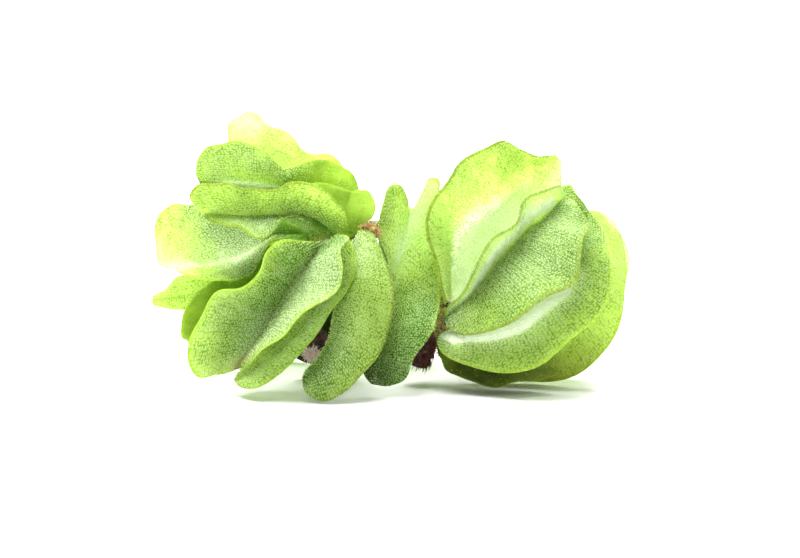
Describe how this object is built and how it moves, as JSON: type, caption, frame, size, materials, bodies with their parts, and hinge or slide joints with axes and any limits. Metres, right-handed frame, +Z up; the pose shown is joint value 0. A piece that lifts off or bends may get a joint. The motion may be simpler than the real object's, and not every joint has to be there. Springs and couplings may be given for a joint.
{
  "type": "aquatic fern plant",
  "caption": "Eared watermoss: folded, finely haired leaves crowded in tufts along a short creeping stem, with brown roots below.",
  "frame": {"origin": "on the ground under the middle of the plant's bounding box", "axes": "+X from the left tuft to the right tuft as seen in the picture, +Y away from the viewer, +Z up"},
  "size_m": [0.0702, 0.0376, 0.0382],
  "materials": {
    "leaf_green": "matte, covered with fine pale hairs in rows",
    "leaf_lime": "thin and light-filled, smooth near the margin",
    "leaf_olive": "matte, in shade",
    "stem_green": "matte with short brown hairs",
    "root_brown": "dull, hairy",
    "bud_pink": "dull, hairy"
  },
  "bodies": {
    "root": {"leaf_left_front": "leaf_green", "leaf_left_band": "leaf_lime", "leaf_left_waved": "leaf_green", "leaf_left_upper": "leaf_green", "leaf_left_broad": "leaf_green", "leaf_left_under": "leaf_green", "leaf_left_point": "leaf_lime", "leaf_left_top": "leaf_lime", "leaf_left_lobe": "leaf_lime", "leaf_left_inner": "leaf_green", "leaf_left_back_low": "leaf_green", "leaf_left_back_high": "leaf_green", "leaf_middle_front": "leaf_green", "leaf_middle_eared": "leaf_green", "leaf_middle_back": "leaf_green", "leaf_right_tall": "leaf_lime", "leaf_right_front": "leaf_green", "leaf_right_second": "leaf_green", "leaf_right_foot": "leaf_olive", "leaf_right_outer": "leaf_olive", "leaf_right_rim": "leaf_lime", "leaf_right_back_low": "leaf_green", "leaf_right_back_high": "leaf_green", "crown_knot": "root_brown", "root_right": "root_brown", "root_left": "root_brown", "stem": "stem_green", "bud": "bud_pink"}
  },
  "joints": []
}
